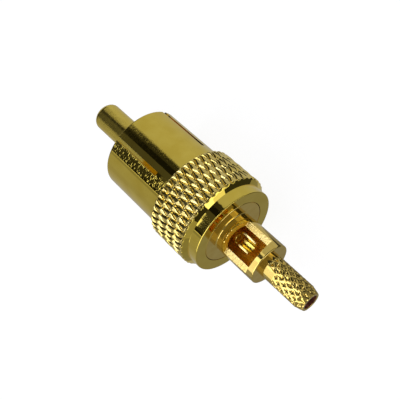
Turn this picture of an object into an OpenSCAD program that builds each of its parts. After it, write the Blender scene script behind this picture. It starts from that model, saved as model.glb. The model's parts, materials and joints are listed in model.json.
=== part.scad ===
// Coaxial phono plug for crimped cable.
// The axis runs along X. The front rim of the shell stands at x = 0, the pin
// reaches out towards -X and the crimp spigot points along +X. The solder
// window in the neck looks up, along +Z. Sizes are in millimetres.

/* [Centre contact] */
// Diameter of the centre pin
pin_d = 3.2; // [2.8:0.05:3.4]
// Distance that the pin stands out past the front rim of the shell
pin_reach = 7.35; // [4:0.05:10]
// Length of the rounded nose of the pin
pin_nose = 0.95; // [0.3:0.05:1.3]
// Diameter of the shank behind the pin
shank_d = 1.8; // [1.3:0.05:2.2]
// Outer diameter of the solder cup
cup_d = 1.4; // [1.1:0.02:1.6]
// Inner diameter of the solder cup
cup_bore_d = 1.02; // [0.7:0.02:1.05]
// Length of the closed cup that shows inside the window
cup_ring = 0.15; // [0.05:0.01:0.6]
// Length of the open half of the cup behind it
cup_trough = 1.65; // [0.8:0.02:2.2]
// Depth of the cup bore in front of the window
cup_depth = 1.6; // [0.5:0.1:2]

/* [Shell] */
// Inner diameter of the slotted sleeve, which grips the barrel of the socket
sleeve_bore_d = 8.3; // [8:0.05:8.6]
// Wall of the slotted sleeve
sleeve_wall = 0.62; // [0.4:0.02:0.8]
// Length of the sleeve in front of the knurled grip
sleeve_len = 8.3; // [7.5:0.05:10]
// Depth of the sleeve from its rim to the face of the insulator
sleeve_depth = 7.2; // [6.8:0.05:7.4]
// Width of each lengthwise slot
slot_w = 0.44; // [0.3:0.02:1.2]
// Length of the slots from the rim
slot_len = 6.45; // [3:0.05:6.7]
// Turn of the first pair of slots about the axis, from the window side
slot_turn = 3.5; // [0:0.5:45]
// Angle from the first pair of slots to the second
slot_cross = 79; // [60:1:90]
// Break of the edges at the rim
rim_break = 0.14; // [0.02:0.02:0.2]

/* [Grip] */
// Diameter over the knurled grip
grip_d = 10.8; // [10.4:0.05:12]
// Length of the knurled grip
grip_len = 4.75; // [3.5:0.05:7]
// Plain lip at the front edge of the grip
grip_lip = 0.1; // [0.02:0.02:0.3]
// Width of one diamond of the grip around the axis
grip_pitch = 0.8; // [0.7:0.05:1.4]
// Angle of the grip's grooves to the axis
grip_angle = 19; // [15:1:35]
// Depth of the grip's grooves
grip_groove = 0.22; // [0.08:0.02:0.3]
// Share of each diamond's width that stays flat on top
grip_flat = 0.4; // [0.15:0.05:0.7]
// Where the first row of diamonds stands before the grip, as a share of the row spacing
grip_phase = 0.18; // [0:0.02:1]
// Length of the shoulder that slopes down behind the grip
shoulder_len = 0.35; // [0.1:0.01:0.5]
// Diameter of the plain ring behind the grip
ring_d = 9.68; // [9.2:0.02:10.2]
// Length of the plain ring
ring_len = 1.23; // [0.6:0.01:3]
// Break of the rear edge of the ring
ring_break = 0.08; // [0.02:0.02:0.2]

/* [Rear body] */
// Diameter of the pressed-in disc
disc_d = 7.26; // [6.4:0.02:7.8]
// Clearance of the pressed and slid pieces, on the radius
seat_gap = 0.01; // [0:0.005:0.05]
// Diameter of the neck
neck_d = 4.56; // [4.1:0.02:5.2]
// Diameter of the bore inside the neck
neck_bore_d = 3.56; // [3:0.02:3.8]
// Length of the neck between the shell and the window
neck_land = 0.82; // [0.4:0.02:2]
// Length of the solder window at its flat
window_len = 3.1; // [2.4:0.05:5]
// Slope of the window's end walls: how much longer it is at the top, at each end
window_flare = 0.27; // [0.02:0.01:0.5]
// Height of the window's flat above the axis
window_h = 1.15; // [0.8:0.05:1.4]
// Length of the collar behind the window
collar_len = 0.64; // [0.4:0.02:2]
// Break of the collar's rear edge
collar_break = 0.1; // [0.02:0.02:0.2]

/* [Crimp spigot] */
// Diameter over the knurled spigot
spigot_d = 2.56; // [2.2:0.02:3]
// Bore through the spigot for the cable's insulation
cable_bore_d = 1.6; // [1.3:0.02:1.8]
// Plain length at the root of the spigot
spigot_root = 1.3; // [0.4:0.05:2]
// Length of the knurl on the spigot
spigot_knurl_len = 3.2; // [2:0.05:6]
// Width of one diamond of the spigot's knurl around the axis
spigot_pitch = 0.67; // [0.5:0.02:1]
// Angle of the spigot's grooves to the axis
spigot_angle = 32; // [20:1:45]
// Depth of the spigot's grooves
spigot_groove = 0.1; // [0.04:0.02:0.14]
// Share of each diamond's width that stays flat on top
spigot_flat = 0.45; // [0.15:0.05:0.7]
// Length of the tapered end of the spigot
spigot_taper = 0.84; // [0.3:0.02:1.5]
// Diameter at the very end of the spigot
spigot_end_d = 2.1; // [2:0.02:2.4]

/* [Insulator] */
// Thickness of the insulator's front disc
insulator_disc = 2.1; // [1:0.05:2.6]
// Length of the insulator's hub behind the disc
insulator_hub = 2.6; // [1:0.05:3.2]

/* [Hidden] */
$fn = 96;
eps = 0.02;
// how far a cut runs past the metal
over = 1;

// stations along the axis, from the front rim of the shell
rim_x = 0;
tip_x = rim_x - pin_reach;
grip_x = rim_x + sleeve_len;
shoulder_x = grip_x + grip_len;
ring_x = shoulder_x + shoulder_len;
back_x = ring_x + ring_len;
face_x = rim_x + sleeve_depth;
seat_x = face_x + insulator_disc;
hub_x = seat_x + insulator_hub;
window_x = back_x + neck_land;
flat_x = window_x + window_flare;
wall_x = flat_x + window_len;
collar_x = wall_x + window_flare;
spigot_x = collar_x + collar_len;
knurl_x = spigot_x + spigot_root;
taper_x = knurl_x + spigot_knurl_len;
end_x = taper_x + spigot_taper;
cup_x = window_x + cup_ring;
cup_end_x = cup_x + cup_trough;

// radii
pin_r = pin_d / 2;
bore_r = sleeve_bore_d / 2;
sleeve_r = bore_r + sleeve_wall;
grip_r = grip_d / 2;
ring_r = ring_d / 2;
disc_r = disc_d / 2;
neck_r = neck_d / 2;
neck_bore_r = neck_bore_d / 2;
spigot_r = spigot_d / 2;
cable_r = cable_bore_d / 2;

// knurl pattern: whole diamonds around, half a diamond from column to column
grip_n = 2 * round(PI * grip_d / grip_pitch / 2);
grip_step = PI * grip_d / grip_n / 2 / tan(grip_angle);
spigot_n = 2 * round(PI * spigot_d / spigot_pitch / 2);
spigot_step = PI * spigot_d / spigot_n / 2 / tan(spigot_angle);

// lays a profile of [radius, station] points out as a solid around the X axis
module turned(pts) {
    rotate([0, 90, 0]) rotate_extrude() polygon(pts);
}

// a round bar or bore along the axis
module bar(x0, x1, r) {
    translate([x0, 0, 0]) rotate([0, 90, 0]) cylinder(h = x1 - x0, r = r);
}

// point at station x, radius r and angle t about the axis, from +Z
function at(x, r, t) = [x, -r * sin(t), r * cos(t)];

// Diamond knurl as one closed solid. Column j stands at x0 + j * step and holds
// n diamonds; every other column is turned by half a diamond. Each diamond is a
// cut-off pyramid: four groove corners at the root, a flat at the crest.
module diamonds(x0, step, cols, n, r_root, r_top, flat) {
    w = 360 / n;
    function turn(j) = (j % 2) * w / 2;
    // per diamond: groove crossing beside it, then its crest corners south, north, west, east
    pts = concat(
        [for (j = [0:cols]) for (i = [0:n - 1]) let (t = i * w + turn(j), x = x0 + j * step) each [
            at(x, r_root, t + w / 2),
            at(x, r_top, t - flat * w / 2),
            at(x, r_top, t + flat * w / 2),
            at(x - (j > 0 ? flat * step : 0), r_top, t),
            at(x + (j < cols ? flat * step : 0), r_top, t)]],
        [[x0, 0, 0], [x0 + cols * step, 0, 0]]);
    function id(j, i, k) = (j * n + (i + n) % n) * 5 + k;
    // groove crossings in the columns before and behind, at this diamond's own angle
    function west(j, i) = j % 2 == 0 ? id(j - 1, i - 1, 0) : id(j - 1, i, 0);
    function east(j, i) = j % 2 == 0 ? id(j + 1, i - 1, 0) : id(j + 1, i, 0);
    faces = concat(
        [for (j = [0:cols]) for (i = [0:n - 1]) let (
            c = [for (k = [0:4]) id(j, i, k)], south = id(j, i - 1, 0), north = id(j, i, 0))
            each concat(
                j > 0 ? let (b = west(j, i)) [
                    [c[3], c[1], c[2]],
                    [b, south, c[1]], [b, c[1], c[3]],
                    [b, c[3], c[2]], [b, c[2], north]] : [],
                j < cols ? let (b = east(j, i)) [
                    [c[4], c[2], c[1]],
                    [b, c[1], south], [b, c[4], c[1]],
                    [b, c[2], c[4]], [b, north, c[2]]] : [])],
        [for (i = [0:n - 1]) let (m = (cols + 1) * n * 5) each [
            [m, id(0, i - 1, 0), id(0, i, 1)], [m, id(0, i, 1), id(0, i, 2)],
            [m, id(0, i, 2), id(0, i, 0)],
            [m + 1, id(cols, i, 1), id(cols, i - 1, 0)], [m + 1, id(cols, i, 2), id(cols, i, 1)],
            [m + 1, id(cols, i, 0), id(cols, i, 2)]]]);
    polyhedron(pts, faces, convexity = 6);
}

// outer form of the shell without its pattern
module shell_core() {
    core_r = grip_r - grip_groove - eps;
    turned([
        [0, rim_x], [sleeve_r - rim_break, rim_x], [sleeve_r, rim_x + rim_break],
        [sleeve_r, grip_x], [core_r, grip_x], [core_r, shoulder_x],
        [min(core_r, ring_r), ring_x], [ring_r, ring_x],
        [ring_r, back_x - ring_break], [ring_r - ring_break, back_x], [0, back_x]]);
}

// space that the grip's diamonds fill: lip in front, sloped shoulder behind
module grip_form() {
    turned([
        [0, grip_x], [grip_r - grip_groove / 2, grip_x], [grip_r + eps, grip_x + grip_lip],
        [grip_r + eps, shoulder_x], [ring_r, ring_x], [0, ring_x]]);
}

module shell() {
    // the lip cuts through the first column of diamonds
    first_x = grip_x - grip_step * grip_phase;
    cols = ceil((ring_x - first_x) / grip_step) + 1;
    color("#C9A83C")
    difference() {
        union() {
            shell_core();
            intersection() {
                diamonds(first_x, grip_step, cols, grip_n,
                    grip_r - grip_groove, grip_r, grip_flat);
                grip_form();
            }
        }
        // cavity of the sleeve, seat of the insulator and seat of the rear body
        turned([
            [0, rim_x - over], [bore_r + rim_break, rim_x - over], [bore_r + rim_break, rim_x],
            [bore_r, rim_x + rim_break], [bore_r, seat_x], [disc_r, seat_x],
            [disc_r, back_x + over], [0, back_x + over]]);
        // spring slots
        for (t = [slot_turn, slot_turn - slot_cross])
            rotate([t, 0, 0])
                translate([rim_x - over, -slot_w / 2, -sleeve_r - over])
                    cube([slot_len + over, slot_w, 2 * (sleeve_r + over)]);
    }
}

module rear_body() {
    // the knurl starts half a column early and runs on over the tapered end
    first_x = knurl_x - spigot_step / 2;
    cols = ceil((end_x - first_x) / spigot_step) + 1;
    root_r = spigot_r - spigot_groove;
    r = disc_r - seat_gap;
    color("#D4B24A")
    difference() {
        union() {
            turned([
                [0, seat_x + seat_gap], [r, seat_x + seat_gap], [r, back_x],
                [neck_r, back_x], [neck_r, spigot_x - collar_break],
                [neck_r - collar_break, spigot_x], [spigot_r, spigot_x],
                [spigot_r, knurl_x], [root_r - eps, knurl_x + spigot_groove],
                [root_r - eps, taper_x], [min(root_r - eps, spigot_end_d / 2), end_x], [0, end_x]]);
            intersection() {
                diamonds(first_x, spigot_step, cols, spigot_n,
                    root_r, spigot_r, spigot_flat);
                turned([
                    [0, knurl_x - eps], [spigot_r - eps, knurl_x - eps], [spigot_r + eps, knurl_x],
                    [spigot_r + eps, taper_x], [spigot_end_d / 2, end_x], [0, end_x]]);
            }
        }
        bar(seat_x - over, wall_x, neck_bore_r);
        bar(wall_x - over, end_x + over, cable_r);
        // solder window, with sloping end walls
        rotate([90, 0, 0]) linear_extrude(neck_d + over, center = true) polygon([
            [flat_x, window_h], [wall_x, window_h],
            [collar_x, neck_r], [collar_x, neck_r + over],
            [window_x, neck_r + over], [window_x, neck_r]]);
    }
}

module center_contact() {
    shank_r = shank_d / 2;
    cup_r = cup_d / 2;
    color("#D8BC5A")
    difference() {
        turned(concat(
            [for (a = [0:9:90]) [pin_r * sin(a), tip_x + pin_nose * (1 - cos(a))]],
            [[pin_r, face_x], [shank_r, face_x], [shank_r, hub_x],
             [cup_r, hub_x], [cup_r, cup_end_x], [0, cup_end_x]]));
        bar(window_x - cup_depth, cup_end_x + over, cup_bore_d / 2);
        translate([cup_x, -cup_d, 0]) cube([cup_trough + over, 2 * cup_d, cup_d]);
    }
}

module insulator() {
    hole_r = shank_d / 2 + seat_gap;
    color("#F2F0E8")
    turned([
        [hole_r, face_x], [bore_r - seat_gap, face_x], [bore_r - seat_gap, seat_x],
        [neck_bore_r - seat_gap, seat_x], [neck_bore_r - seat_gap, hub_x],
        [hole_r, hub_x]]);
}

shell();
rear_body();
center_contact();
insulator();
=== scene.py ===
import json
import math

import bmesh
import bpy
from mathutils import Matrix, Vector, noise

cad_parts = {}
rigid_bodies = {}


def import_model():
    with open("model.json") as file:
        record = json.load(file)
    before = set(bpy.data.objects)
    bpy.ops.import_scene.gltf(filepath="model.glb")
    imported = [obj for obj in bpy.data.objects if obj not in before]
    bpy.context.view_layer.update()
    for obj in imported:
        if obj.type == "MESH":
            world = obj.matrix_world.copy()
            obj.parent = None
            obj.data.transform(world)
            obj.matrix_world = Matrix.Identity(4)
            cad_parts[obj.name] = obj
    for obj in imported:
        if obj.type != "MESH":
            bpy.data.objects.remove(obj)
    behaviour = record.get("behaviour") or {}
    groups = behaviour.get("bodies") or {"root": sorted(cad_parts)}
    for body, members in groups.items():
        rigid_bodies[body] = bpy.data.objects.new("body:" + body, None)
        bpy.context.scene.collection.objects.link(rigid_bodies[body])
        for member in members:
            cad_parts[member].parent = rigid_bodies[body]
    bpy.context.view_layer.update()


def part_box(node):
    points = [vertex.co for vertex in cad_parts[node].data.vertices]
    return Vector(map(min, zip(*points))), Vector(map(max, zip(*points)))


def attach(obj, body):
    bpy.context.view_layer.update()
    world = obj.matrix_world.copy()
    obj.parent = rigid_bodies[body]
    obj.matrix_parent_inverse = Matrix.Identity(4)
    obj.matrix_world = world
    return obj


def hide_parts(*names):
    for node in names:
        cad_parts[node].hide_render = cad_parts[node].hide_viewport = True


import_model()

# Everything below is in millimetres until a mesh is made.
mm = 0.001
millimetres = 1000.0
# a bend sharper than this, in degrees, stays an edge
sharp = {"turned": 35, "knurled": 50, "moulded": 40}
# how far a cutter runs past the metal
over = 1.0


def stationOf(node, high):
    low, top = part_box(node)
    return (top if high else low).x * millimetres


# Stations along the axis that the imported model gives
tipX = stationOf("center_contact", False)
cupEndX = stationOf("center_contact", True)
rimX = stationOf("shell", False)
backX = stationOf("shell", True)
faceX = stationOf("insulator", False)
hubX = stationOf("insulator", True)
seatX = stationOf("rear_body", False)
endX = stationOf("rear_body", True)
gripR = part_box("shell")[1].z * millimetres


# Colours, written as sRGB hex values

def linear(hexColour):
    parts = [int(hexColour[i:i + 2], 16) / 255 for i in (1, 3, 5)]
    return [c / 12.92 if c <= 0.04045 else ((c + 0.055) / 1.055) ** 2.4 for c in parts] + [1.0]


# Nodes

def addNode(tree, kind, settings=None, inputs=None):
    # settings are the node's own properties. An input is a value, a socket, or a node whose first
    # output feeds it.
    node = tree.nodes.new(kind)
    for name, value in (settings or {}).items():
        setattr(node, name, value)
    for name, value in (inputs or {}).items():
        if isinstance(value, bpy.types.Node):
            value = value.outputs[0]
        if isinstance(value, bpy.types.NodeSocket):
            tree.links.new(value, node.inputs[name])
        else:
            node.inputs[name].default_value = value
    return node


def emptyMaterial(name):
    material = bpy.data.materials.new(name)
    material.use_nodes = True
    material.node_tree.nodes.clear()
    return material, material.node_tree


def turnedCoordinates(tree):
    # station, turn, and both with the radius: about the X axis, in millimetres and radians
    place = addNode(tree, "ShaderNodeTexCoord")
    x, y, z = addNode(tree, "ShaderNodeSeparateXYZ", None, {0: place.outputs["Object"]}).outputs
    station = addNode(tree, "ShaderNodeMath", {"operation": "MULTIPLY"}, {0: x, 1: millimetres})
    turn = addNode(tree, "ShaderNodeMath", {"operation": "ARCTAN2"}, {0: y, 1: z})
    across = addNode(tree, "ShaderNodeCombineXYZ", None, {1: y, 2: z})
    length = addNode(tree, "ShaderNodeVectorMath", {"operation": "LENGTH"}, {0: across})
    radius = addNode(tree, "ShaderNodeMath", {"operation": "MULTIPLY"},
                     {0: length.outputs["Value"], 1: millimetres})
    turned = addNode(tree, "ShaderNodeCombineXYZ", None, {0: station, 1: turn, 2: radius})
    return station, turn, turned


def turnedNoise(tree, turned, grain, detail, roughness=0.5):
    # noise with grains of this size: mm along, radians round, mm outwards
    scaled = addNode(tree, "ShaderNodeVectorMath", {"operation": "MULTIPLY"},
                     {0: turned, 1: [1 / size for size in grain]})
    return addNode(tree, "ShaderNodeTexNoise", None,
                   {"Vector": scaled, "Scale": 1.0, "Detail": detail, "Roughness": roughness})


# What all the plating shares. Grains are mm along, radians round and mm outwards. Real polishing
# lines are hundredths of a millimetre apart, too fine to show, so these are drawn coarser.
plating = {
    "cloud": (1.6, 0.35, 1.2), "haze": (0.25, 0.2, 0.3), "scratch": (0.05, 0.12, 0.05),
    "speck": (0.10, 0.09, 0.17), "speckRise": 0.15, "turnFade": 1.0, "stationFade": 0.2,
}


def goldPlate(name, look):
    # bright gold plating on a turned surface. look holds the two tones, the roughness, the depth of
    # the turning marks in mm, their grain in mm along and radians round, the depth of fine scratches,
    # and how much of a metal the surface is where it isn't all metal
    material, tree = emptyMaterial(name)
    station, turn, turned = turnedCoordinates(tree)
    cloud = addNode(tree, "ShaderNodeMapRange", None, {
        "Value": turnedNoise(tree, turned, plating["cloud"], 3.0), "From Min": 0.35, "From Max": 0.65})
    tint = addNode(tree, "ShaderNodeMix", {"data_type": "RGBA"},
                   {0: cloud, 6: linear(look["pale"]), 7: linear(look["deep"])})
    shine = addNode(tree, "ShaderNodeMapRange", None, {
        "Value": turnedNoise(tree, turned, plating["haze"], 4.0), "From Min": 0.3, "From Max": 0.75,
        "To Min": look["shine"] * 0.7, "To Max": look["shine"] * 1.5})
    along, across = look["grain"]
    marks = turnedNoise(tree, turned, (along, across, along), 3.0, 0.6)
    height = addNode(tree, "ShaderNodeMath", {"operation": "MULTIPLY"}, {0: marks, 1: look["marks"] * mm})
    scratches = turnedNoise(tree, turned, plating["scratch"], 2.0)
    height = addNode(tree, "ShaderNodeMath", {"operation": "MULTIPLY_ADD"},
                     {0: scratches, 1: look["scratch"] * mm, 2: height})
    for start, end, front, rear, low, depth in look.get("specks", ()):
        # raised specks between two turns in degrees and two stations: low is the noise level that
        # they start at
        degrees = addNode(tree, "ShaderNodeMath", {"operation": "MULTIPLY"}, {0: turn, 1: -180 / math.pi})
        raised = addNode(tree, "ShaderNodeMapRange", None, {
            "Value": turnedNoise(tree, turned, plating["speck"], 1.0),
            "From Min": low, "From Max": low + plating["speckRise"], "To Max": depth * mm})
        soft = plating["turnFade"]
        edges = (
            (degrees, start - soft, start + soft, 0, 1), (degrees, end - soft, end + soft, 1, 0),
            (station, front - plating["stationFade"], front, 0, 1),
            (station, rear, rear + plating["stationFade"], 1, 0))
        for value, near, far, before, after in edges:
            edge = addNode(tree, "ShaderNodeMapRange", None, {
                "Value": value, "From Min": near, "From Max": far, "To Min": before, "To Max": after})
            raised = addNode(tree, "ShaderNodeMath", {"operation": "MULTIPLY"}, {0: raised, 1: edge})
        height = addNode(tree, "ShaderNodeMath", {"operation": "ADD"}, {0: height, 1: raised})
    bump = addNode(tree, "ShaderNodeBump", None, {"Strength": 1.0, "Distance": 1.0, "Height": height})
    shader = addNode(tree, "ShaderNodeBsdfPrincipled", None, {
        "Base Color": tint.outputs[2], "Metallic": look.get("metal", 1.0), "Roughness": shine,
        "Normal": bump})
    addNode(tree, "ShaderNodeOutputMaterial", None, {"Surface": shader})
    return material


# Mesh helpers

def rounded(corners, steps=4):
    # closed outline of (station, radius, fillet) corners, each fillet as a short curve. A row close to
    # either end of the curve keeps the shading of the long faces flat.
    rows = []
    for i, (x, r, fillet) in enumerate(corners):
        here = Vector((x, r))
        if fillet == 0:
            rows.append((x, r))
            continue
        back = Vector(corners[i - 1][:2]) - here
        ahead = Vector(corners[(i + 1) % len(corners)][:2]) - here
        reach = min(fillet / math.tan(back.angle(ahead) / 2), back.length * 0.48, ahead.length * 0.48)
        start = here + back.normalized() * reach
        end = here + ahead.normalized() * reach
        beside = start + back.normalized() * min(0.015, back.length * 0.01)
        rows.append((beside.x, beside.y))
        for k in range(steps + 1):
            t = k / steps
            p = start * (1 - t) ** 2 + here * 2 * t * (1 - t) + end * t ** 2
            rows.append((p.x, p.y))
        beside = end + ahead.normalized() * min(0.015, ahead.length * 0.01)
        rows.append((beside.x, beside.y))
    return rows


def around(x, r, turn):
    return Vector((x, -r * math.sin(turn), r * math.cos(turn)))


def lathe(name, rows, count, closed=True):
    # a row is a (station, radius) pair, or a function of the turn that gives one
    mesh = bpy.data.meshes.new(name)
    verts = []
    rings = []
    for row in rows:
        ring = []
        for k in range(count):
            turn = 2 * math.pi * k / count
            x, r = row(turn) if callable(row) else row
            if r == 0:
                if k == 0:
                    verts.append(around(x, 0, 0) * mm)
                ring.append(len(verts) - 1)
            else:
                verts.append(around(x, r, turn) * mm)
                ring.append(len(verts) - 1)
        rings.append(ring)
    faces = []
    pairs = list(zip(rings, rings[1:])) + ([(rings[-1], rings[0])] if closed else [])
    for one, two in pairs:
        for k in range(count):
            j = (k + 1) % count
            face = [one[k], one[j], two[j], two[k]]
            face = [v for i, v in enumerate(face) if v != face[i - 1]]
            if len(set(face)) > 2:
                faces.append(face)
    mesh.from_pydata(verts, [], faces)
    work = bmesh.new()
    work.from_mesh(mesh)
    bmesh.ops.recalc_face_normals(work, faces=work.faces)
    work.to_mesh(mesh)
    work.free()
    piece = bpy.data.objects.new(name, mesh)
    bpy.context.scene.collection.objects.link(piece)
    return piece


def prism(name, outline, width, turn=0.0):
    # cutter: an (x, z) outline pushed out to both sides along Y, turned about the X axis
    work = bmesh.new()
    near = [work.verts.new((x * mm, -width / 2 * mm, z * mm)) for x, z in outline]
    far = [work.verts.new((x * mm, width / 2 * mm, z * mm)) for x, z in outline]
    work.faces.new(near)
    work.faces.new(list(reversed(far)))
    for i in range(len(outline)):
        work.faces.new([near[i - 1], far[i - 1], far[i], near[i]])
    bmesh.ops.recalc_face_normals(work, faces=work.faces)
    bmesh.ops.rotate(work, verts=work.verts, matrix=Matrix.Rotation(turn, 3, "X"))
    mesh = bpy.data.meshes.new(name)
    work.to_mesh(mesh)
    work.free()
    piece = bpy.data.objects.new(name, mesh)
    bpy.context.scene.collection.objects.link(piece)
    return piece


def bake(piece):
    # makes the modifiers' result the piece's own mesh
    shape = piece.evaluated_get(bpy.context.evaluated_depsgraph_get())
    mesh = bpy.data.meshes.new_from_object(shape)
    piece.modifiers.clear()
    piece.data = mesh


def cut(piece, cutters, edge=0.0):
    for cutter in cutters:
        step = piece.modifiers.new("cut", "BOOLEAN")
        step.operation = "DIFFERENCE"
        step.solver = "EXACT"
        step.object = cutter
    if edge:
        soften = piece.modifiers.new("edge", "BEVEL")
        soften.width = edge * mm
        soften.segments = 2
        soften.limit_method = "ANGLE"
        soften.angle_limit = math.radians(40)
        soften.use_clamp_overlap = True
        soften.miter_outer = "MITER_ARC"
    bake(piece)
    for cutter in cutters:
        bpy.data.objects.remove(cutter)


def smooth(piece, sharpDegrees):
    for face in piece.data.polygons:
        face.use_smooth = True
    piece.data.set_sharp_from_angle(angle=math.radians(sharpDegrees))


def weigh(piece):
    even = piece.modifiers.new("normals", "WEIGHTED_NORMAL")
    even.keep_sharp = True
    even.weight = 60
    bake(piece)


def joined(name, parts):
    with bpy.context.temp_override(active_object=parts[0], object=parts[0], selected_objects=parts,
                                   selected_editable_objects=parts):
        bpy.ops.object.join()
    parts[0].name = name
    return parts[0]


def dress(piece, *materials):
    piece.data.materials.clear()
    for material in materials:
        piece.data.materials.append(material)


# Knurls: whole diamonds around the piece, each row half a diamond on from the last

def knurlHeight(x, turn, knurl):
    # 1 on the crest of a diamond and 0 in the grooves between them, or 1 on crossing ridges and 0
    # in the pits between them
    a = turn / (2 * math.pi) * knurl["count"]
    b = (x - knurl["first"]) / (2 * knurl["step"])
    u = a + b
    v = a - b
    du = 2 * abs(u - round(u))
    dv = 2 * abs(v - round(v))
    wear = noise.noise(Vector((round(u) * 3.7, round(v) * 5.3, 0.5)))
    if knurl["ridges"]:
        return 1 - (1 + 0.3 * wear) * (1 - max(du, dv)) ** knurl["crown"]
    flank = min(1.0, (du ** 5 + dv ** 5) ** 0.2)
    return (1 + 0.12 * wear) * (1 - 0.5 * flank ** 1.9 - 0.5 * flank ** knurl["crown"])


def knurlRow(x, knurl, envelope):
    # the grooves run out over the last stretch of the knurl
    fade = min(1.0, max(0.0, (knurl["end"] - x) / knurl["runOut"]))

    def row(turn):
        rough = noise.noise(Vector((x * 4, math.sin(turn) * 16, math.cos(turn) * 16))) * knurl["rough"]
        groove = 1 - (1 - knurlHeight(x, turn, knurl)) * fade
        r = knurl["root"] + knurl["depth"] * groove + rough * fade
        if knurl["follows"]:
            r -= knurl["root"] + knurl["depth"] - envelope(x)
        return x, min(r, envelope(x))
    return row


def stations(start, end, step):
    n = max(1, round((end - start) / step))
    return [start + (end - start) * k / n for k in range(n + 1)]


# Materials, named for the real finish, or for the light or shade painted into them
# sleeve: pale bright gold over fine turning marks, with specks where the slot was sawn
shellGold = goldPlate("bright gold plate on turned brass", {
    "pale": "#F3D860", "deep": "#EBCE54", "shine": 0.05, "marks": 0.003, "grain": (0.12, 0.35),
    "scratch": 0.0002, "specks": ((5.0, 8.0, 1, 6.6, 0.50, 0.014), (8.5, 19, -1, 6.6, 0.62, 0.012),
                                  (4.0, 19, 6.7, 9, 0.55, 0.012), (-23, -8, -1, 9, 0.55, 0.0012))})
# ring and shoulder: the same plating, finer turned
ringGold = goldPlate("mirror gold plate on turned brass", {
    "pale": "#F3D860", "deep": "#EDD156", "shine": 0.03, "marks": 0.0001, "grain": (0.2, 0.4),
    "scratch": 0.0})
# grip: the same plating on pressed knurls
knurlGold = goldPlate("bright gold plate on knurled brass", {
    "pale": "#F6E08C", "deep": "#EDD26C", "shine": 0.08, "marks": 0.002, "grain": (0.2, 0.05),
    "scratch": 0.0016})
# rear body: a little warmer
bodyGold = goldPlate("warm gold plate on turned brass", {
    "pale": "#F2D574", "deep": "#EBCB66", "shine": 0.08, "marks": 0.0003, "grain": (0.15, 1.2),
    "scratch": 0.0004})
# milled faces of the window, which scatter the light; their paler, creamier colour paints the bright
# highlight that they catch
milledGoldPaintedHighlight = goldPlate("satin gold plate on milled brass with painted highlight", {
    "pale": "#F8DE8C", "deep": "#F2D274", "shine": 0.16, "marks": 0.010, "grain": (0.18, 0.12),
    "scratch": 0.002})
# inside of the bores: a deeper orange gold, partly diffuse, paints the light that the gold walls throw on
# each other
boreGoldPaintedBounce = goldPlate("bore gold with painted interreflection", {
    "pale": "#FBCB3A", "deep": "#F2B422", "shine": 0.18, "marks": 0.004, "grain": (0.9, 0.12),
    "scratch": 0.0008, "metal": 0.25})
# bore of the spigot: dark red-brown that paints the shade deep in the narrow bore
cableBoreShade = goldPlate("painted shade in the cable bore", {
    "pale": "#7E3410", "deep": "#5C2208", "shine": 0.35, "marks": 0.004, "grain": (0.2, 0.3),
    "scratch": 0.0010, "metal": 0.3})
# centre contact: burnished, softer than the shell
contactGold = goldPlate("pale gold plate on the contact", {
    "pale": "#F3D966", "deep": "#EBD05C", "shine": 0.17, "marks": 0.008, "grain": (0.22, 0.10),
    "scratch": 0.0010})
# insulator: white fluoropolymer, waxy and a little clouded. 2600 grains a metre are 0.4 mm each.
insulatorWhite, tree = emptyMaterial("white fluoropolymer")
place = addNode(tree, "ShaderNodeTexCoord")
grain = addNode(tree, "ShaderNodeTexNoise", None,
                {"Vector": place.outputs["Object"], "Scale": 2600.0, "Detail": 3.0})
tint = addNode(tree, "ShaderNodeMix", {"data_type": "RGBA"},
               {0: grain, 6: linear("#EDEAE0"), 7: linear("#E2DED2")})
shader = addNode(tree, "ShaderNodeBsdfPrincipled", None, {
    "Base Color": tint.outputs[2], "Roughness": 0.42, "Subsurface Weight": 0.15,
    "Subsurface Radius": (0.6 * mm, 0.6 * mm, 0.5 * mm)})
addNode(tree, "ShaderNodeOutputMaterial", None, {"Surface": shader})
print("materials are made")

# Shell: slotted sleeve, knurled grip, shoulder and plain ring, turned from one bar
shell = {
    "boreR": 4.15, "wall": 0.62, "gripX": 8.3, "gripLen": 4.75, "rimFillet": 0.12,
    "slotWidth": 0.44, "slotLen": 6.45, "slotTurn": 3.5, "slotCross": 79, "slotEdge": 0.04,
    "lip": 0.1, "shoulder": 0.35, "ringR": 4.84, "ringFillet": 0.08,
    "seatR": 3.63, "seamFillet": 0.03, "sides": 256, "overlap": 0.6, "lipDrop": 0.11,
}
shell["sleeveR"] = shell["boreR"] + shell["wall"]
shell["shoulderX"] = shell["gripX"] + shell["gripLen"]
shell["ringX"] = shell["shoulderX"] + shell["shoulder"]
grip = {"count": 42, "angle": 19, "depth": 0.24, "crown": 9.0, "rough": 0.012, "samples": 16,
        "row": 0.060, "ridges": False, "follows": False}
grip["step"] = math.pi * gripR / grip["count"] / math.tan(math.radians(grip["angle"]))
grip["first"] = shell["gripX"] - 0.18 * grip["step"]
grip["root"] = gripR - grip["depth"]
grip["end"] = shell["shoulderX"] + 0.08
grip["runOut"] = 0.22

sleeve = lathe("sleeve", rounded([
    (rimX, shell["boreR"], 0.1),
    (rimX, shell["sleeveR"], shell["rimFillet"]),
    (shell["gripX"] + shell["overlap"], shell["sleeveR"], 0),
    (shell["gripX"] + shell["overlap"], shell["boreR"], 0),
]), shell["sides"])
slotOutline = [
    (rimX - over, -shell["sleeveR"] - over), (rimX + shell["slotLen"], -shell["sleeveR"] - over),
    (rimX + shell["slotLen"], shell["sleeveR"] + over), (rimX - over, shell["sleeveR"] + over)]
cut(sleeve, [
    prism("slot", slotOutline, shell["slotWidth"], math.radians(turn))
    for turn in (shell["slotTurn"], shell["slotTurn"] - shell["slotCross"])], shell["slotEdge"])
smooth(sleeve, sharp["turned"])
dress(sleeve, shellGold, knurlGold, ringGold)


def gripEnvelope(x):
    front = gripR - shell["lipDrop"] * (1 - min(1.0, (x - shell["gripX"]) / shell["lip"]))
    rear = gripR - max(0.0, x - shell["shoulderX"]) / shell["shoulder"] * (gripR - shell["ringR"])
    return min(front, rear)


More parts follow.
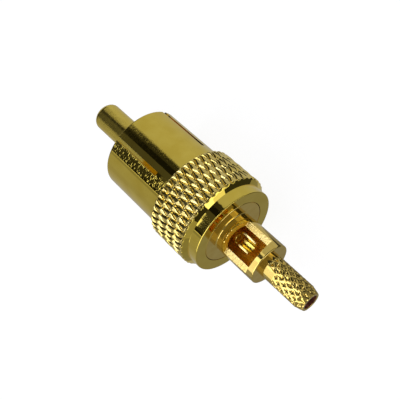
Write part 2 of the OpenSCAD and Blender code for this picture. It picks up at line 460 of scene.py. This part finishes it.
gripRows = [knurlRow(x, grip, gripEnvelope)
            for x in stations(shell["gripX"], shell["ringX"], grip["row"])]
ringRows = rounded([
    (shell["ringX"] + 0.02, shell["ringR"], 0.0),
    (backX, shell["ringR"], shell["ringFillet"]),
    (backX, shell["seatR"], shell["seamFillet"]),
    (seatX, shell["seatR"], 0.0),
    (seatX, shell["boreR"] + 0.01, 0.0),
    (shell["gripX"], shell["boreR"] + 0.01, 0.0),
])
knurled = lathe("grip", gripRows + ringRows, grip["count"] * grip["samples"])
smooth(knurled, sharp["knurled"])
dress(knurled, shellGold, knurlGold, ringGold)
for face in knurled.data.polygons:
    x = face.center.x * millimetres
    inside = math.hypot(face.center.y, face.center.z) * millimetres < shell["ringR"] - 0.1
    face.material_index = 1 if x < shell["shoulderX"] and not inside else 2
shellPiece = joined("shell_turned", [sleeve, knurled])
weigh(shellPiece)
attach(shellPiece, "root")
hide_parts("shell")
print("shell:", len(shellPiece.data.polygons), "faces")

# Rear body: disc, neck with the solder window, collar and knurled spigot
body = {
    "discR": 3.60, "seamFillet": 0.13, "neckR": 2.28, "neckBoreR": 1.78, "neckFillet": 0.12,
    "windowX": 15.45, "windowLen": 3.1, "windowFlare": 0.27, "windowH": 1.15, "windowEdge": 0.04,
    "collarLen": 0.64, "collarFillet": 0.11,
    "spigotR": 1.28, "cableR": 0.8, "spigotRoot": 1.3, "knurlLen": 3.2, "taper": 0.84, "endR": 1.05,
    "sides": 192, "overlap": 0.1, "endBreak": 0.03, "support": 0.07,
}
body["flatX"] = body["windowX"] + body["windowFlare"]
body["wallX"] = body["flatX"] + body["windowLen"]
body["collarX"] = body["wallX"] + body["windowFlare"]
body["spigotX"] = body["collarX"] + body["collarLen"]
body["knurlX"] = body["spigotX"] + body["spigotRoot"]
body["taperX"] = body["knurlX"] + body["knurlLen"]
spigot = {"count": 12, "angle": 32, "depth": 0.15, "crown": 1.9, "rough": 0.03, "samples": 22,
          "row": 0.045, "ridges": True, "follows": True, "early": 0.38, "late": 1.5}
spigot["step"] = math.pi * body["spigotR"] / spigot["count"] / math.tan(math.radians(spigot["angle"]))
spigot["first"] = body["knurlX"] - spigot["step"] / 2
spigot["root"] = body["spigotR"] - spigot["depth"]
spigot["end"] = endX
spigot["runOut"] = 0.1

neck = lathe("neck", rounded([
    (seatX, body["neckBoreR"], 0),
    (seatX, body["discR"], 0.05),
    (backX, body["discR"], body["seamFillet"]),
    (backX, body["neckR"], body["neckFillet"]),
    # rows close to the window keep the shading of the neck flat
    (body["windowX"] - body["support"], body["neckR"], 0),
    (body["collarX"] + body["support"], body["neckR"], 0),
    (body["spigotX"], body["neckR"], body["collarFillet"]),
    (body["spigotX"], body["cableR"], 0.0),
    (body["wallX"], body["cableR"], 0.05),
    (body["wallX"], body["neckBoreR"], 0.03),
]), body["sides"])
windowOutline = [
    (body["flatX"], body["windowH"]), (body["wallX"], body["windowH"]),
    (body["collarX"], body["neckR"]), (body["collarX"], body["neckR"] + over),
    (body["windowX"], body["neckR"] + over), (body["windowX"], body["neckR"])]
cut(neck, [prism("window", windowOutline, 2 * body["neckR"] + over)], body["windowEdge"])
smooth(neck, sharp["turned"])
dress(neck, bodyGold, milledGoldPaintedHighlight, boreGoldPaintedBounce, cableBoreShade)
for face in neck.data.polygons:
    x = face.center.x * millimetres
    z = face.center.z * millimetres
    r = math.hypot(face.center.y, face.center.z) * millimetres
    flat = face.normal.z > 0.95 and abs(z - body["windowH"]) < 0.03
    if r < body["neckBoreR"] + 0.01 and not flat and x < body["spigotX"] - 0.02:
        face.material_index = 2
    elif flat and body["windowX"] < x < body["collarX"]:
        face.material_index = 1


def spigotEnvelope(x):
    if x < body["taperX"]:
        return body["spigotR"]
    share = (x - body["taperX"]) / body["taper"]
    return body["spigotR"] + (body["endR"] - body["spigotR"]) * share


def knurlStart(turn):
    # the knurl is rolled a little askew, so one side starts nearer to the collar
    degrees = (math.degrees(turn) + 180) % 360 - 180
    late = min(1.0, max(0.0, (degrees + 8) / 14)) * (1 - min(1.0, max(0.0, (degrees - 100) / 60)))
    return body["spigotX"] + spigot["early"] + (spigot["late"] - spigot["early"]) * late


def spigotRow(x):
    def row(turn):
        plain = body["spigotR"]
        grow = min(1.0, max(0.0, (x - knurlStart(turn)) / 0.12))
        knurled = knurlRow(x, spigot, spigotEnvelope)(turn)[1]
        return x, plain + (knurled - plain) * grow
    return row


spigotRows = [spigotRow(x)
              for x in stations(body["spigotX"] + spigot["early"], endX - 0.02, spigot["row"])]
spigotPart = lathe("spigot", [(body["spigotX"] - body["overlap"], body["spigotR"])] + spigotRows + [
    (endX, body["endR"] - 0.02), (endX, body["cableR"] + body["endBreak"]),
    (endX - body["endBreak"], body["cableR"]),
    (body["spigotX"] - body["overlap"], body["cableR"])], spigot["count"] * spigot["samples"])
smooth(spigotPart, sharp["knurled"])
dress(spigotPart, bodyGold, milledGoldPaintedHighlight, boreGoldPaintedBounce, cableBoreShade)
for face in spigotPart.data.polygons:
    r = math.hypot(face.center.y, face.center.z) * millimetres
    face.material_index = 3 if r < body["cableR"] + 0.01 else 0
bodyPiece = joined("rear_body_turned", [neck, spigotPart])
weigh(bodyPiece)
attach(bodyPiece, "root")
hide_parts("rear_body")
print("rear body:", len(bodyPiece.data.polygons), "faces")

# Centre contact: domed pin, shank and half-open solder cup
contact = {
    "pinR": 1.6, "nose": 0.95, "shankR": 0.9, "cupR": 0.7, "cupBoreR": 0.51,
    "cupDepth": 1.6, "cupRing": 0.15, "edge": 0.025, "sides": 128, "noseRows": 16,
}
contact["cupX"] = body["windowX"] + contact["cupRing"]
noseRows = []
for k in range(contact["noseRows"] + 1):
    turn = math.pi / 2 * k / contact["noseRows"]
    noseRows.append((tipX + contact["nose"] * (1 - math.cos(turn)), contact["pinR"] * math.sin(turn)))
pin = lathe("pin", noseRows + [
    (faceX - 0.01, contact["pinR"]), (faceX - 0.01, contact["shankR"]),
    (hubX, contact["shankR"]), (hubX + 0.01, contact["cupR"]), (cupEndX, contact["cupR"]),
    (cupEndX, contact["cupBoreR"]), (contact["cupX"], contact["cupBoreR"]),
    (body["windowX"] - contact["cupDepth"], contact["cupBoreR"]),
    (body["windowX"] - contact["cupDepth"], 0)], contact["sides"], closed=False)
cupOutline = [(contact["cupX"], 0), (cupEndX + over, 0), (cupEndX + over, over), (contact["cupX"], over)]
cut(pin, [prism("cup", cupOutline, 2 * over)], contact["edge"])
smooth(pin, sharp["turned"])
dress(pin, contactGold, milledGoldPaintedHighlight, boreGoldPaintedBounce)
for face in pin.data.polygons:
    x = face.center.x * millimetres
    r = math.hypot(face.center.y, face.center.z) * millimetres
    if x > contact["cupX"] - 0.02 and abs(face.normal.z) > 0.95 and abs(face.center.z) < 0.03 * mm:
        face.material_index = 1
    elif x > hubX + 0.2 and r < contact["cupBoreR"] + 0.01 and x < contact["cupX"]:
        face.material_index = 2
pin.name = "contact_turned"
weigh(pin)
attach(pin, "root")
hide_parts("center_contact")
print("contact:", len(pin.data.polygons), "faces")

# Insulator: stepped bush between the shell and the contact
insulator = {"holeR": 0.91, "discR": 4.14, "hubR": 1.77, "disc": 2.1, "fillet": 0.12, "sides": 128}
bush = lathe("insulator_bush", rounded([
    (faceX, insulator["holeR"], 0.05),
    (faceX, insulator["discR"], insulator["fillet"]),
    (faceX + insulator["disc"], insulator["discR"], insulator["fillet"]),
    (faceX + insulator["disc"], insulator["hubR"], 0.05),
    (hubX, insulator["hubR"], 0.08),
    (hubX, insulator["holeR"], 0.05),
]), insulator["sides"])
smooth(bush, sharp["moulded"])
dress(bush, insulatorWhite)
weigh(bush)
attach(bush, "root")
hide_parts("insulator")
print("insulator is made")

# Floor: pale and plain. It is white to the eye and in the metal, and keeps a soft shadow.
def panel(name, corners, material):
    # flat four-sided sheet through these corners
    mesh = bpy.data.meshes.new(name)
    mesh.from_pydata([Vector(corner) * mm for corner in corners], [], [(0, 1, 2, 3)])
    piece = bpy.data.objects.new(name, mesh)
    bpy.context.scene.collection.objects.link(piece)
    mesh.materials.append(material)
    return piece


def whiteRays(tree):
    # 1 for the rays that show the white background: seen by the camera, mirrored, or through glass
    path = addNode(tree, "ShaderNodeLightPath")
    seen = addNode(tree, "ShaderNodeMath", {"operation": "MAXIMUM"},
                   {0: path.outputs["Is Camera Ray"], 1: path.outputs["Is Glossy Ray"]})
    return addNode(tree, "ShaderNodeMath", {"operation": "MAXIMUM"},
                   {0: seen, 1: path.outputs["Is Transmission Ray"]})


ground = {"z": -gripR, "side": 1450, "tone": "#F2F1EE", "glow": 0.92, "shaded": 0.18}
whiteFloor, tree = emptyMaterial("white paper floor")
glow = addNode(tree, "ShaderNodeEmission", None, {"Color": (1, 1, 1, 1), "Strength": ground["glow"]})
soft = addNode(tree, "ShaderNodeBsdfDiffuse", None, {"Color": [ground["shaded"]] * 3 + [1]})
bright = addNode(tree, "ShaderNodeAddShader", None, {0: glow, 1: soft})
sheet = addNode(tree, "ShaderNodeBsdfDiffuse", None, {"Color": linear(ground["tone"])})
blend = addNode(tree, "ShaderNodeMixShader", None, {0: whiteRays(tree), 1: sheet, 2: bright})
addNode(tree, "ShaderNodeOutputMaterial", None, {"Surface": blend})
side = ground["side"]
corners = ((-side, -side), (side, -side), (side, side), (-side, side))
panel("floor", [(x, y, ground["z"]) for x, y in corners], whiteFloor)


# Studio: a grey tent with an opening behind the part, glowing sheets on the floor that paint the lit
# floor and the part's shadow on it, and the cards that the turned sides mirror. Only the part's metal
# sees these painted floor sheets.
def mirrored(name, xRange, yRange, lift, material):
    z = ground["z"] + lift
    (xFrom, xTo), (yFrom, yTo) = xRange, yRange
    piece = panel(name, [(xFrom, yFrom, z), (xTo, yFrom, z), (xTo, yTo, z), (xFrom, yTo, z)], material)
    piece.visible_camera = False
    piece.visible_diffuse = False
    piece.visible_shadow = False


def glowing(name, level, tone="#FFFFFF"):
    # a level of (yFrom, yTo, first, last) goes from first to last between these places along Y, in mm
    material, tree = emptyMaterial(name)
    if isinstance(level, tuple):
        yFrom, yTo, first, last = level
        place = addNode(tree, "ShaderNodeTexCoord")
        parts = addNode(tree, "ShaderNodeSeparateXYZ", None, {0: place.outputs["Object"]})
        level = addNode(tree, "ShaderNodeMapRange", None, {
            "Value": parts.outputs[1], "From Min": yFrom * mm, "From Max": yTo * mm,
            "To Min": first, "To Max": last})
    glow = addNode(tree, "ShaderNodeEmission", None, {"Color": linear(tone), "Strength": level})
    addNode(tree, "ShaderNodeOutputMaterial", None, {"Surface": glow})
    return material


paintedFloor = {"edgeX": 14.2, "farX": 62, "outside": 1200}
# glowing sheet, seen only in the metal, that paints the lit floor, brighter towards +Y as a painted
# fall-off of the light
litFloorGlow = glowing("painted lit floor", (-40, 20, 0.34, 0.48))
mirrored("painted_lit_floor", (-paintedFloor["outside"], paintedFloor["farX"]), (-paintedFloor["outside"], paintedFloor["outside"]),
         0.02, litFloorGlow)
mirrored("painted_lit_floor_behind", (paintedFloor["farX"], paintedFloor["outside"]), (-paintedFloor["outside"], -12),
         0.02, litFloorGlow)
# glowing sheets, seen only in the metal, that paint the part's shadow on the floor behind it, darkest on
# the +Y side
mirrored("painted_floor_shadow", (paintedFloor["edgeX"], paintedFloor["farX"]), (-26, 9), 0.04, glowing("painted floor shadow", 0.25))
mirrored("painted_deep_floor_shadow", (paintedFloor["edgeX"], paintedFloor["farX"]), (9, 38), 0.06, glowing("painted deep floor shadow", 0.035))


def card(name, leans, turns, level, radius=400, torn=0.0, tone="#FFFFFF"):
    # curved sheet round the X axis. Seen from the part it lies between two leans, in degrees towards
    # +X from square to the axis, and two turns about the axis from straight up. torn: its first turn's
    # edge wanders by so many degrees
    rows = 60 if torn else 2
    columns = max(2, round((turns[1] - turns[0]) / 4))
    verts = []
    faces = []
    for i in range(rows + 1):
        lean = leans[0] + (leans[1] - leans[0]) * i / rows
        start = turns[0] + torn * noise.noise(Vector((i * 1.1, 2.5, 0.5)))
        for j in range(columns + 1):
            turn = start + (turns[1] - start) * j / columns
            verts.append(around(radius * math.tan(math.radians(lean)), radius, math.radians(turn)) * mm)
    for i in range(rows):
        for j in range(columns):
            k = i * (columns + 1) + j
            faces.append([k, k + 1, k + columns + 2, k + columns + 1])
    mesh = bpy.data.meshes.new(name)
    mesh.from_pydata(verts, [], faces)
    piece = bpy.data.objects.new(name, mesh)
    bpy.context.scene.collection.objects.link(piece)
    mesh.materials.append(glowing(name, level, tone))
    piece.visible_camera = False


# Cards. A bright cool tone keeps the highlights on the gold cream and not orange.
cool = "#E9ECFF"
sides = (-37.3, -23.7)
cards = {
    # dark, in the pin
    "pin_card": {"leans": (-42, -37.3), "turns": (-26, -4), "level": 0.045},
    "pin_olive_card": {"leans": (-42, -37.3), "turns": (-4, 46), "level": 0.10},
    # dark, with one thin light, in the sleeve and the ring
    "dark_card": {"leans": sides, "turns": (-36, -21), "level": 0.03, "torn": 8},
    "black_card": {"leans": sides, "turns": (-21, -6.5), "level": 0.008},
    "olive_card": {"leans": sides, "turns": (-6.5, 18), "level": 0.062},
    "grey_card": {"leans": sides, "turns": (18, 45), "level": 0.035},
    "edge_card": {"leans": sides, "turns": (45, 51.5), "level": 0.012},
    "thin_light": {"leans": sides, "turns": (51.5, 52.7), "level": 0.8},
    "dim_card": {"leans": sides, "turns": (52.7, 59), "level": 0.26},
    "tongue": {"leans": (-23.7, -17), "turns": (-16, 2), "level": 0.03},
    "tongue_tip": {"leans": (-17.7, -16.7), "turns": (-6, 8), "level": 0.03, "radius": 398},
    # bright, in the rails, the collar and the spigot
    "gap_light": {"leans": (-22.5, -16.5), "turns": (-27, -16), "level": 0.9},
    "top_panel": {"leans": (-23.4, -20), "turns": (2, 22), "level": 1.7, "tone": cool},
    "middle_panel": {"leans": (-20, -13.2), "turns": (2, 22), "level": 1.9, "tone": cool},
    "side_panel": {"leans": (-23.4, -13.2), "turns": (22, 88), "level": 1.4, "tone": cool},
    # bright, in the flanks of the knurls
    "strip_lamp": {"leans": (-13.2, -4), "turns": (-14, 70), "level": 3.2, "tone": cool},
    "high_lamp": {"leans": (-4, 16), "turns": (20, 70), "level": 2.7, "tone": cool},
    "side_lamp": {"leans": (-13.2, 2), "turns": (70, 110), "level": 2.8, "tone": cool},
    # dark, in the other flanks
    "front_card": {"leans": (-75, -42), "turns": (-70, 100), "level": 0.02},
    "low_card": {"leans": (-13.2, 14), "turns": (-112, -14), "level": 0.03},
    # small light at the front edge of the ring
    "wedge_light_0": {"leans": (-25.6, -25.4), "turns": (4, 42), "level": 2.2, "radius": 398,
                      "tone": cool},
    "wedge_light_1": {"leans": (-25.4, -25.2), "turns": (20, 40), "level": 2.2, "radius": 398,
                      "tone": cool},
    # dim, over the part
    "roof": {"leans": (2, 55), "turns": (-60, 60), "level": 0.20, "radius": 420},
}
for name, look in cards.items():
    card(name, **look)
print("cards:", len(cards))


def screen(name, yFrom, yTo, level, tone="#FFFFFF"):
    # upright sheet behind the part
    low, high, x = -4, 190, 480
    piece = panel(name, [(x, yFrom, low), (x, yTo, low), (x, yTo, high), (x, yFrom, high)],
                  glowing(name, level, tone))
    piece.visible_camera = False


# soft lamp that lights the floor, plastic and bores; the metal mirrors the cards, screens, tent and
# painted floor sheets, not this lamp
softLamp = {"place": (120, 90, 480), "width": 500, "watts": 1.5}
lampData = bpy.data.lights.new("soft_lamp", "AREA")
lampData.shape = "DISK"
lampData.size = softLamp["width"] * mm
lampData.energy = softLamp["watts"]
lamp = bpy.data.objects.new("soft_lamp", lampData)
bpy.context.scene.collection.objects.link(lamp)
lamp.location = Vector(softLamp["place"]) * mm
lamp.rotation_euler = Vector(softLamp["place"]).to_track_quat("Z", "Y").to_euler()
lamp.visible_glossy = False

screen("rear_light", 0, 330, 2.2, cool)
screen("rear_dark", -160, -4, 0.03)

# tent: a dome whose +Y side is lit more, open where the white backdrop shows behind the part
tentR = 1400
opening = {"from": -2, "to": 38, "low": -4, "high": 24}
dome = bmesh.new()
bmesh.ops.create_uvsphere(dome, u_segments=90, v_segments=60, radius=tentR * mm)
gone = []
for face in dome.faces:
    middle = face.calc_center_median().normalized()
    bearing = math.degrees(math.atan2(middle.y, middle.x))
    rise = math.degrees(math.asin(middle.z))
    if opening["from"] < bearing < opening["to"] and opening["low"] < rise < opening["high"]:
        gone.append(face)
bmesh.ops.delete(dome, geom=gone, context="FACES")
tentMesh = bpy.data.meshes.new("tent")
dome.to_mesh(tentMesh)
dome.free()
tent = bpy.data.objects.new("tent", tentMesh)
bpy.context.scene.collection.objects.link(tent)
tentMesh.materials.append(glowing("grey tent cloth", (-tentR, tentR, 0.34, 0.50)))
tent.visible_camera = False
print("studio is set")

world = bpy.data.worlds.new("backdrop")
bpy.context.scene.world = world
world.use_nodes = True
tree = world.node_tree
tree.nodes.clear()
backdrop = addNode(tree, "ShaderNodeBackground", None, {"Color": (1, 1, 1, 1), "Strength": 1.0})
dim = addNode(tree, "ShaderNodeBackground", None, {"Color": (1, 1, 1, 1), "Strength": 0.42})
blend = addNode(tree, "ShaderNodeMixShader", None, {0: whiteRays(tree), 1: dim, 2: backdrop})
addNode(tree, "ShaderNodeOutputWorld", None, {"Surface": blend})

# Camera, at the photograph's place
view = {"place": (41.87, 8.36, 59.40), "aim": (9.47, 0.08, 0.0), "roll": -63.89, "lens": 60.09}
cameraData = bpy.data.cameras.new("camera")
camera = bpy.data.objects.new("camera", cameraData)
bpy.context.scene.collection.objects.link(camera)
place = Vector(view["place"])
look = Vector(view["aim"]) - place
turned = look.to_track_quat("-Z", "Y").to_matrix() @ Matrix.Rotation(math.radians(view["roll"]), 3, "Z")
camera.matrix_world = Matrix.Translation(place * mm) @ turned.to_4x4()
cameraData.lens = view["lens"]
cameraData.sensor_width = 36
cameraData.clip_start = 1 * mm
cameraData.clip_end = 5
bpy.context.scene.camera = camera
bpy.context.scene.view_settings.view_transform = "Standard"
print("camera is placed")
